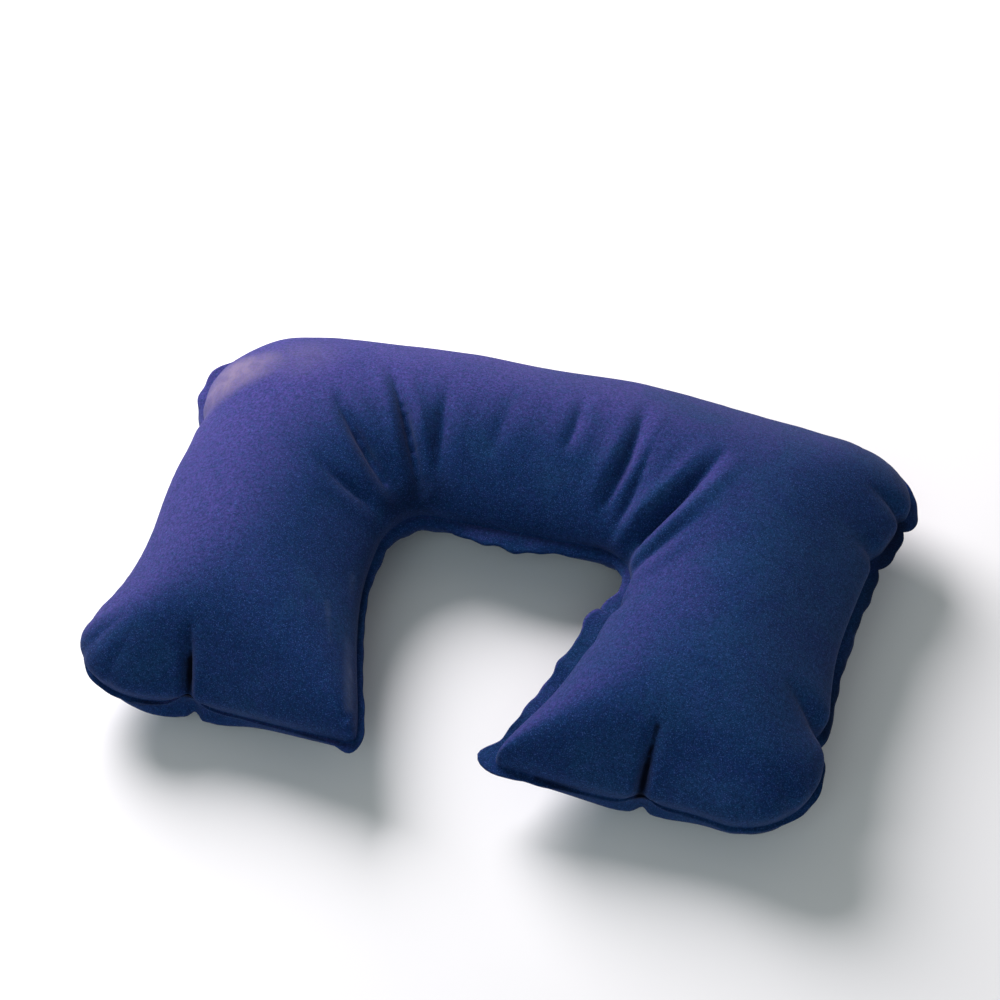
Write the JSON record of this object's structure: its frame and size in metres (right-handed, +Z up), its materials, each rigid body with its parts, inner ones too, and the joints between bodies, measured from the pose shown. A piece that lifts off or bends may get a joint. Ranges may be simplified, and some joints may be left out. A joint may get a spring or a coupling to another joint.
{
  "type": "inflatable camp pillow",
  "caption": "U-shaped inflatable camp pillow of flocked film, with a flat weld margin all round and a push-in air valve under the back.",
  "frame": {"origin": "centre of the base, on the floor that the pillow lies on", "axes": "+Z up; +Y towards the closed back of the U; -Y towards the arm tips and the mouth of the neck gap; +X to the right, across both arms"},
  "size_m": [0.432, 0.2868, 0.0903],
  "materials": {
    "flocked_film_top": "flocked, matt, with a soft sheen",
    "flocked_film_base": "flocked, matt, with a soft sheen",
    "valve_vinyl": "soft moulded vinyl, satin",
    "flap_film": "thin clear film, satin"
  },
  "bodies": {
    "cushion": {"upper_panel": "flocked_film_top", "lower_panel": "flocked_film_base", "valve_ring": "valve_vinyl", "valve_web": "valve_vinyl"},
    "neck": {"valve_neck": "valve_vinyl"},
    "stopper": {"stopper": "valve_vinyl", "stopper_strap": "valve_vinyl"},
    "flap": {"check_flap": "flap_film"}
  },
  "joints": [
    {"name": "neck_pull", "type": "slide", "parent": "cushion", "child": "neck", "axis": [0, 0.788, -0.6157], "range_m": [0, 0.009], "deforming": ["valve_web"]},
    {"name": "stopper_swing", "type": "hinge", "parent": "neck", "child": "stopper", "pos_m": [0.0099, 0.12356, 0.01969], "axis": [0, -0.6157, -0.788], "range_deg": [0, 150]},
    {"name": "flap_swing", "type": "hinge", "parent": "neck", "child": "flap", "pos_m": [0.0043, 0.11256, 0.02828], "axis": [0, 0.6157, 0.788], "range_deg": [0, 40], "stiffness_Nm_per_rad": 0.0001}
  ]
}
